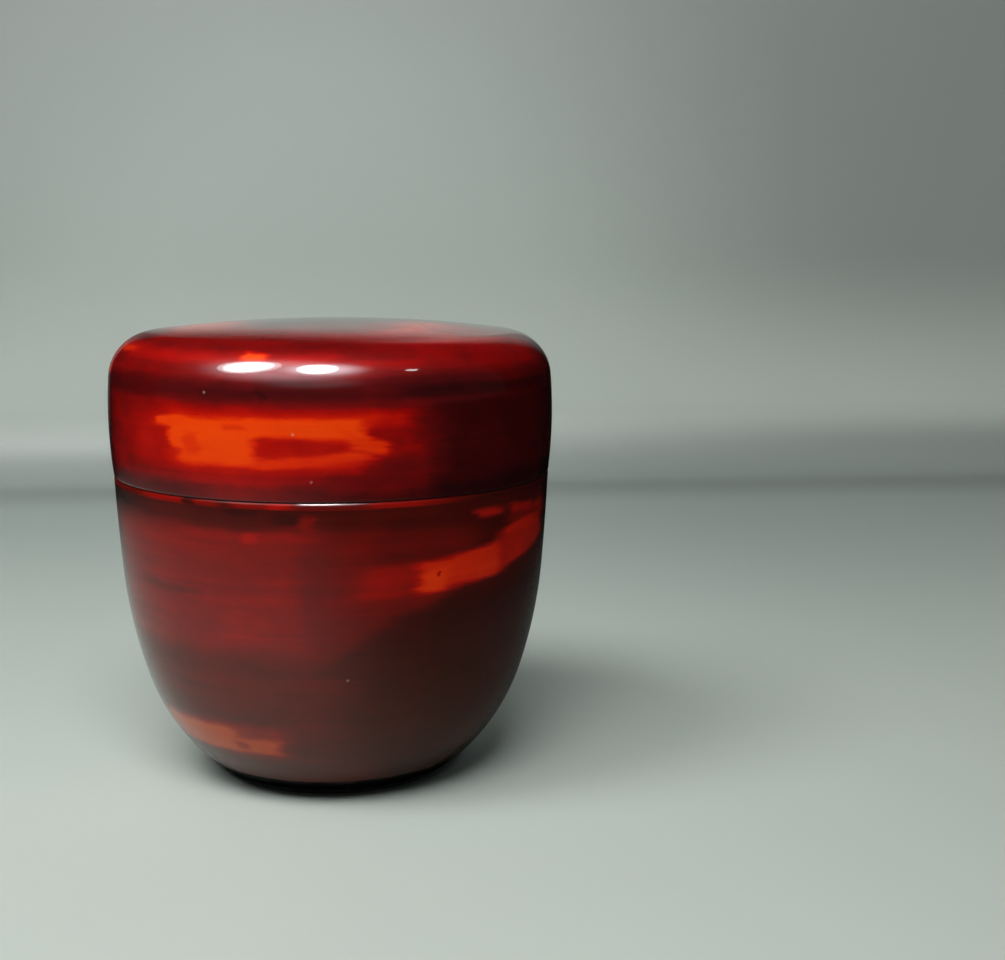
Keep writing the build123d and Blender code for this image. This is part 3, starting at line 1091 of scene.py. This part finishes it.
bump = add_node(tree, "ShaderNodeBump", Strength=0.3, Distance=0.05 * mm, Height=rings * 0.5 - pores)
plug(tree, bump, shader.inputs["Normal"])
for node in ("body_core", "lid_core"):
    core = frame["nodes"][node]
    core.data.materials.clear()
    core.data.materials.append(turned_wood)
print("materials:", [material.name for material in bpy.data.materials])

# %% [markdown]
# ## A table and a wall
#
# The caddy stands on a pale sheet that curves up into a wall close behind it. Gloss shows
# whatever is near, so the sheet matters as much as the paint: the lid's crown mirrors the
# wall, and the lower body mirrors the table. One strip of paper with a curved bend makes
# both, with no line where they meet. Its paint carries painted light and shade: it is
# palest low on the wall, and darkens a little away from the lamps and in the bend.

# %% The studio sheet
wall_back = 290 * mm
bend_curve = 22 * mm
sheet_front, sheet_top, sheet_half_width = -2.5, 1.5, 2.5


def sheet_mesh(name, inset=0.0):
    """The line floor - quarter circle - wall, moved in by a distance and carried along x."""
    turn = np.linspace(0, pi / 2, 24)
    curve = bend_curve - inset
    centre = (wall_back - bend_curve, bend_curve)
    bend = np.stack([centre[0] + curve * np.sin(turn), centre[1] - curve * np.cos(turn)], 1)
    line = np.concatenate([[(sheet_front, inset)], bend, [(wall_back - inset, sheet_top)]])
    sides = np.array([-sheet_half_width, sheet_half_width])
    grid = np.stack([
        np.repeat(sides[:, None], len(line), 1),
        np.repeat(line[None, :, 0], 2, 0),
        np.repeat(line[None, :, 1], 2, 0),
    ], axis=2)
    index = np.arange(2 * len(line)).reshape(2, -1)
    faces = np.stack([index[0, :-1], index[1, :-1], index[1, 1:], index[0, 1:]], axis=1)
    mesh = bpy.data.meshes.new(name)
    mesh.from_pydata(grid.reshape(-1, 3).tolist(), [], faces.tolist())
    mesh.shade_smooth()
    return mesh


sheet = new_object("studio_sheet", sheet_mesh("studio_sheet"))
sheet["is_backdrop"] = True


# %% Distance from a place, for round and oval areas
def oval_distance(tree, centre, reach):
    """Length of (point - centre) / reach, with a reach for each axis: 1 on an oval's surface."""
    scaled = add_node(
        tree, "ShaderNodeMapping", Vector=object_place(tree),
        Location=[-middle / size for middle, size in zip(centre, reach)],
        Scale=[1 / size for size in reach],
    )
    return add_node(
        tree, "ShaderNodeVectorMath", outputs=("Value",), settings={"operation": "LENGTH"},
        Vector=scaled,
    )


# %% Paint of the sheet
sheet_paint, tree = new_material("studio_paper")
point = object_place(tree)
x, y, z = add_node(tree, "ShaderNodeSeparateXYZ", outputs=("X", "Y", "Z"), Vector=point)
# Painted shade: the table darkens towards the wall and to the right, away from the lamps.
table_paint = blend_colour(tree, step_up(y, -0.02, 0.26), paint(199, 209, 201), paint(176, 187, 181))
table_paint = blend_colour(tree, step_up(x, 0.0, 0.13) * 0.16, table_paint, paint(0, 0, 0))
# Painted shade: the wall darkens upwards and away from a painted pool of light in its middle.
wall_paint = blend_colour(tree, step_up(z, 0.0, 0.22), paint(186, 194, 187), paint(172, 180, 176))
painted_light_pool_distance = oval_distance(tree, (-0.005, wall_back, 0.05), (1, 1, 1))
wall_paint = blend_colour(tree, step_up(painted_light_pool_distance, 0.05, 0.2) * 0.36, wall_paint, paint(0, 0, 0))
# Painted light: the wall is brighter low down, just above the bend.
painted_light_low_on_wall = step_up(z, 0.08, 0.02) * step_up(z, 0.004, 0.026)
wall_paint = blend_colour(tree, painted_light_low_on_wall * 0.9, wall_paint, paint(203, 212, 204))
colour = blend_colour(tree, step_up(z, 0.001, 0.02), table_paint, wall_paint)
# Painted shade in the bend between table and wall.
painted_shade_in_bend = step_up(y, 0.225, 0.262) * step_up(z, 0.021, 0.01)
colour = blend_colour(tree, painted_shade_in_bend * 0.22, colour, paint(0, 0, 0))
grey_cloud = noise(tree, point, 6.0, 3.0)
colour = blend_colour(tree, step_up(grey_cloud, 0.3, 0.8) * 0.08, colour, paint(120, 130, 128))
shader = tree.nodes["Principled BSDF"]
plug(tree, colour, shader.inputs["Base Color"])
plug(tree, grey_cloud * 0.1 + 0.46, shader.inputs["Roughness"])
shader.inputs["Specular IOR Level"].default_value = 0.3
sheet.data.materials.append(sheet_paint)

# %% [markdown]
# ## What the gloss sees
#
# A polished piece takes half of its look from what it mirrors. A photographer works with
# black cards, which keep the colour of a glossy side deep, and leaves a pale patch of table
# and wall close to the piece, whose image draws its round form. The card here lies just over
# the sheet. It has soft openings: one on the table round the foot, and three on the wall,
# whose images veil the crown. Only mirrored rays see the card: the camera and the soft light
# pass it by, so the sheet looks pale from every side.


# %% A card that only the gloss sees
def glossy_only(card):
    """Hides a piece of the studio from all but mirrored rays."""
    card.visible_camera = False
    card.visible_diffuse = False
    card.visible_transmission = False
    card.visible_shadow = False
    card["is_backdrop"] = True
    return card


def four_corner_card(name, corners):
    """A flat four-sided card through its corners."""
    mesh = bpy.data.meshes.new(name)
    mesh.from_pydata(corners, [], [(0, 1, 2, 3)])
    return glossy_only(new_object(name, mesh))


# %% The black card and its soft openings
card_lift = 1 * mm


def opening(tree):
    """How clear the card is: round the foot, less so on its right, and in ovals on the wall."""
    x, _, z = add_node(
        tree, "ShaderNodeSeparateXYZ", outputs=("X", "Y", "Z"), Vector=object_place(tree),
    )
    on_table = step_up(oval_distance(tree, (-0.04, 0.03, 0), (0.9, 1, 1)), 0.235, 0.055)
    # Less clear on the right: painted shade in the mirrored table to the right of the caddy.
    on_table = on_table * (step_up(x, -0.03, 0.045) * -0.62 + 0.84)
    # The card stays dark under the foot, so that the foot's band and the low body mirror a painted
    # contact shadow there.
    outside_painted_contact_shade = step_up(oval_distance(tree, (0, 0, 0), (1, 1, 1)), 0.0185, 0.0215)
    on_wall = step_up(oval_distance(tree, (0.02, wall_back, 0.058), (1, 1, 1)), 0.112, 0.07)
    on_left = step_up(oval_distance(tree, (-0.1, wall_back, 0.05), (1, 1, 1.6)), 0.07, 0.03)
    on_wall = on_wall.math("MAXIMUM", on_left * 0.28)
    high_right = step_up(oval_distance(tree, (0.1, wall_back, 0.2), (1, 1, 1.6)), 0.1, 0.03)
    on_wall = on_wall.math("MAXIMUM", high_right * 0.85)
    return blend(step_up(z, 0.003, 0.04), on_table * outside_painted_contact_shade, on_wall)


card_black, tree = new_material("card_black")
shader = tree.nodes["Principled BSDF"]
shader.inputs["Base Color"].default_value = paint(12, 12, 13)
shader.inputs["Roughness"].default_value = 0.9
shader.inputs["Specular IOR Level"].default_value = 0.0
plug(tree, opening(tree) * -1 + 1, shader.inputs["Alpha"])
black_card = glossy_only(new_object("black_card", sheet_mesh("black_card", card_lift)))
black_card.data.materials.append(card_black)

# %% [markdown]
# ## Lamps
#
# Two soft lamps stand high in front, one to the left and one near the middle. Their mirror
# images are the two bright spots on the shoulder, so their places were worked out from
# there: the lamp lies where a line of sight bounces off the turned surface. Each has a hot
# middle, which shows only in the mirror. A small lamp on the right gives the third, tiny
# spot.
#
# The front lamp shines through a diffuser, whose image fades to its edge. A lamp's own image
# has a hard edge, so a glowing card with a soft edge is mirrored in its place. Two more such
# cards give the wide halo below the spots and the dim light of a far window.

# %% Where a lamp must stand to be mirrored at a place on the shoulder
camera_place = (0, -238.0 * mm, 81.7 * mm)


def mirrored_from(around, height, distance):
    """The line of sight v bounces off a surface of normal n as v - 2 (v . n) n."""
    rise = direction_at(lid[1], height)
    reach = lid[1].r + lid[1].curve * cos(rise)
    turn = radians(around)
    spot = Vector((reach * sin(turn), -reach * cos(turn), height))
    normal = Vector((cos(rise) * sin(turn), -cos(rise) * cos(turn), sin(rise)))
    sight = (spot - Vector(camera_place)).normalized()
    return spot + distance * (sight - 2 * sight.dot(normal) * normal)


# %% Lamps and their hot middles
aim = Vector((0, 0, 60 * mm))


def soft_lamp(name, place, width, height, brightness):
    """An oval area lamp facing the caddy. Its power is brightness x pi x area."""
    lamp = bpy.data.lights.new(name, "AREA")
    lamp.shape = "ELLIPSE"
    lamp.size = width
    lamp.size_y = height
    lamp.energy = brightness * pi * (pi / 4 * width * height)
    holder = new_object(name, lamp)
    facing = (place - aim).to_track_quat("Z", "Y").to_matrix().to_4x4()
    holder.matrix_world = Matrix.Translation(place) @ facing
    holder.visible_camera = False
    holder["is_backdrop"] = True
    print(name, "stands at", [round(value, 3) for value in place])
    return holder


lamp_distance = 0.65
middle_distance = lamp_distance - 0.01
middle_brightness = 28
left_place = mirrored_from(-20.5, 64.3 * mm, lamp_distance)
left_middle = mirrored_from(-20.5, 64.3 * mm, middle_distance)
front_place = mirrored_from(-2.6, 64.05 * mm, lamp_distance)
front_middle = mirrored_from(-3.6, 64.1 * mm, middle_distance)
right_place = mirrored_from(18.9, 63.8 * mm, lamp_distance)
soft_lamp("left_lamp", left_place, 0.29, 0.34, 9.2)
front_lamp = soft_lamp("front_lamp", front_place, 0.42, 0.26, 11)
front_lamp.visible_glossy = False
soft_lamp("right_lamp", right_place, 0.07, 0.05, 14)
glossy_only(soft_lamp("left_lamp_middle", left_middle, 0.215, 0.27, middle_brightness))
glossy_only(soft_lamp("front_lamp_middle", front_middle, 0.19, 0.26, middle_brightness))

# %% Glowing cards: the front lamp's soft face, a halo and a far window
glow_tint = (0.92, 0.94, 1.0, 1)


def glow_card(name, place, width, height, brightness):
    """A flat glowing oval facing the caddy, brightest in the middle and fading to its edge."""
    facing = (place - aim).to_track_quat("Z", "Y").to_matrix()
    across = facing @ Vector((width / 2, 0, 0))
    upward = facing @ Vector((0, height / 2, 0))
    signs = ((-1, -1), (1, -1), (1, 1), (-1, 1))
    corners = [tuple(place + across * right + upward * up) for right, up in signs]
    card = four_corner_card(name, corners)
    material, tree = new_material(name)
    shader = tree.nodes["Principled BSDF"]
    shader.inputs["Base Color"].default_value = paint(0, 0, 0)
    shader.inputs["Specular IOR Level"].default_value = 0.0
    shader.inputs["Emission Strength"].default_value = brightness
    off = oval_distance(tree, place, (width / 2, width / 2, height / 2))
    fade = step_up(off, 1.0, 0.25)
    glow = blend_colour(tree, fade, paint(0, 0, 0), glow_tint)
    plug(tree, glow, shader.inputs["Emission Color"])
    plug(tree, fade, shader.inputs["Alpha"])
    card.data.materials.append(material)


glow_card("front_lamp_face", front_place, 0.6, 0.44, 15)
glow_card("lamps_halo", Vector((-0.27, -0.4, 0.66)), 1.5, 0.8, 4.5)
glow_card("far_window", Vector((-0.16, -0.78, 0.46)), 1.2, 0.56, 0.9)

# %% Dim light from the room all round
world = bpy.data.worlds.new("dim_room")
world.use_nodes = True
background = world.node_tree.nodes["Background"]
background.inputs["Color"].default_value = (0.95, 1.0, 1.0, 1)
background.inputs["Strength"].default_value = 0.03
bpy.context.scene.world = world
bpy.context.scene.view_settings.view_transform = "Standard"

# %% [markdown]
# ## The camera
#
# The caddy was seen from close by, a little from above, and left of the middle of the
# picture, so the camera looks past it to the right. Its place, lens and three angles were
# solved from the outline of the lid and body, whose size is known.

# %% Set the camera
turn_right, look_down, roll = radians(6.267), radians(8.990), radians(0.154)


def camera_axes():
    """Right, up and forward of a camera turned, tipped down and rolled, in that order."""
    forward = Vector((
        sin(turn_right) * cos(look_down),
        cos(turn_right) * cos(look_down),
        -sin(look_down),
    ))
    right = Vector((cos(turn_right), -sin(turn_right), 0))
    up = right.cross(forward)
    rolled_right = right * cos(roll) + up * sin(roll)
    rolled_up = up * cos(roll) - right * sin(roll)
    return rolled_right, rolled_up, forward


def camera_matrix():
    """Columns: right, up, and against the view, with the place last."""
    right, up, forward = camera_axes()
    matrix = Matrix((right, up, -forward)).transposed().to_4x4()
    matrix.translation = camera_place
    return matrix


camera_data = bpy.data.cameras.new("front_camera")
camera_data.sensor_width = 36
camera_data.lens = 55.51
camera_data.clip_start = 0.01
camera = new_object("front_camera", camera_data)
camera.matrix_world = camera_matrix()
bpy.context.scene.camera = camera
camera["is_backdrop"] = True

# %% Compare the boxes, and finish
shown_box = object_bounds()
for name, box in (("frame", cad_box), ("shown", shown_box)):
    print(name, "box, mm:", [[round(value / mm, 3) for value in corner] for corner in box])
